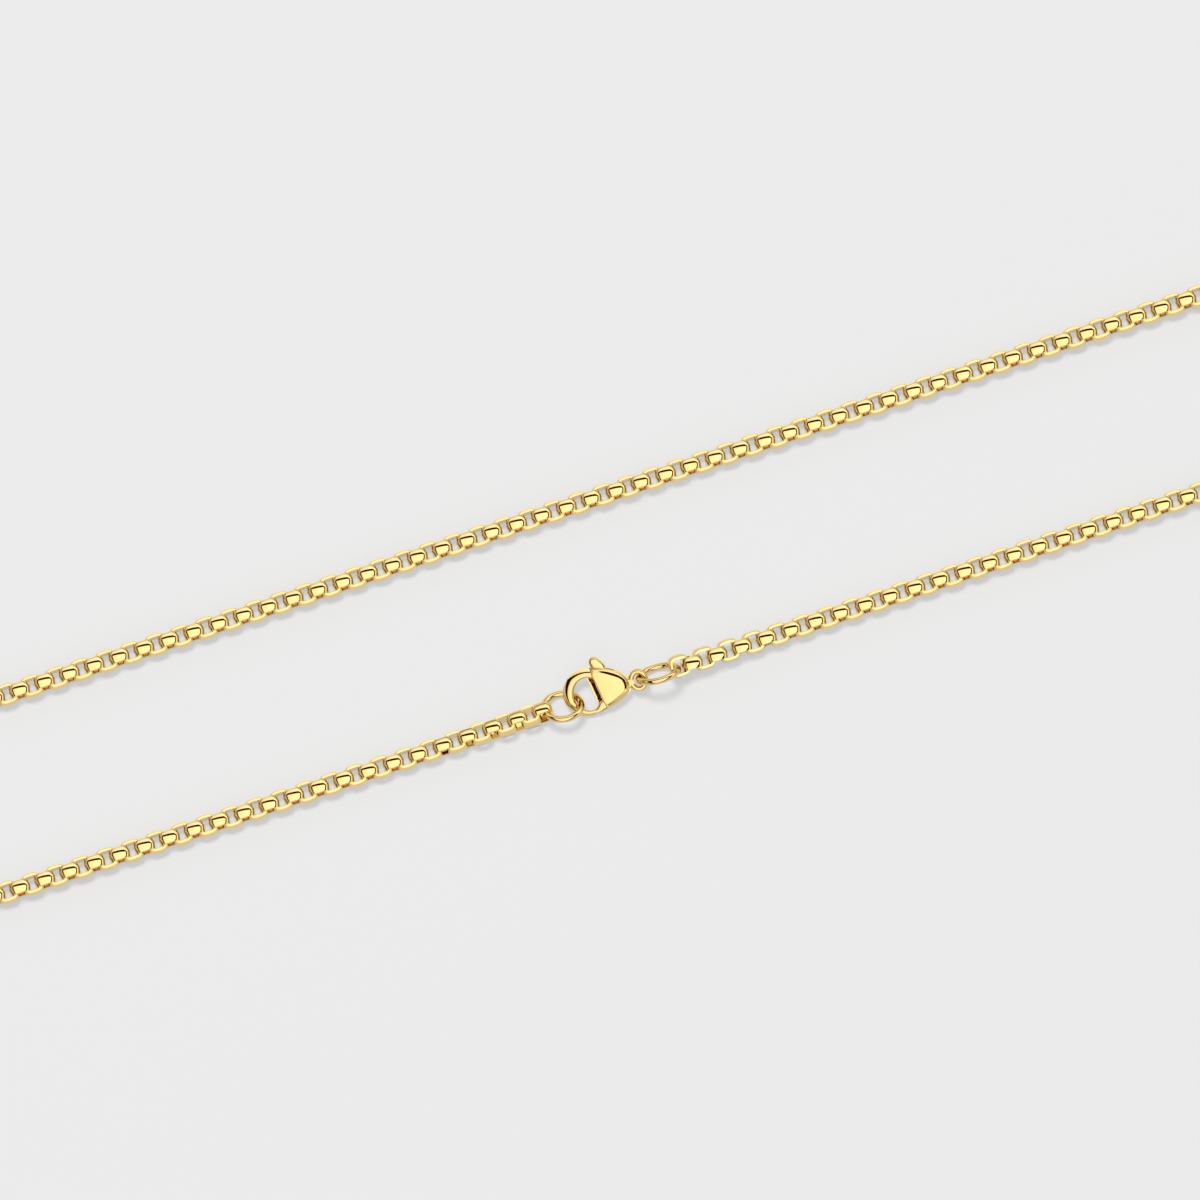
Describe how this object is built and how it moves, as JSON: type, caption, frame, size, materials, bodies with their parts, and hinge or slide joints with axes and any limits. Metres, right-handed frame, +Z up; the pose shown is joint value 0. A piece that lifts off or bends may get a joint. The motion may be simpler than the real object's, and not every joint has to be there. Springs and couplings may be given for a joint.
{
  "type": "box chain",
  "caption": "Gold-coloured box chain for the neck, a closed loop of square interlocked links with round jump rings and a lobster clasp.",
  "frame": {"origin": "on the surface the chain lies on, at the middle of the whole loop seen from above", "axes": "+X along the straight runs towards the jump ring's side, +Y from the run with the clasp to the far run, +Z up from the surface"},
  "size_m": [0.2136, 0.03, 0.0055],
  "materials": {
    "chain_gold": "polished",
    "ring_gold": "polished",
    "clasp_gold": "polished"
  },
  "bodies": {
    "necklace": {"chain_first_half": "chain_gold", "chain_second_half": "chain_gold", "catch_ring": "ring_gold", "jump_ring": "ring_gold", "clasp_body": "clasp_gold"},
    "lever": {"clasp_lever": "clasp_gold"}
  },
  "joints": [
    {"name": "lever_hinge", "type": "hinge", "parent": "necklace", "child": "lever", "pos_m": [-0.00147, -0.01307, 0.00162], "axis": [0.0854, 0.3384, -0.9371], "range_deg": [0, 22], "stiffness_Nm_per_rad": 0.001, "springref_deg": -20.05}
  ]
}
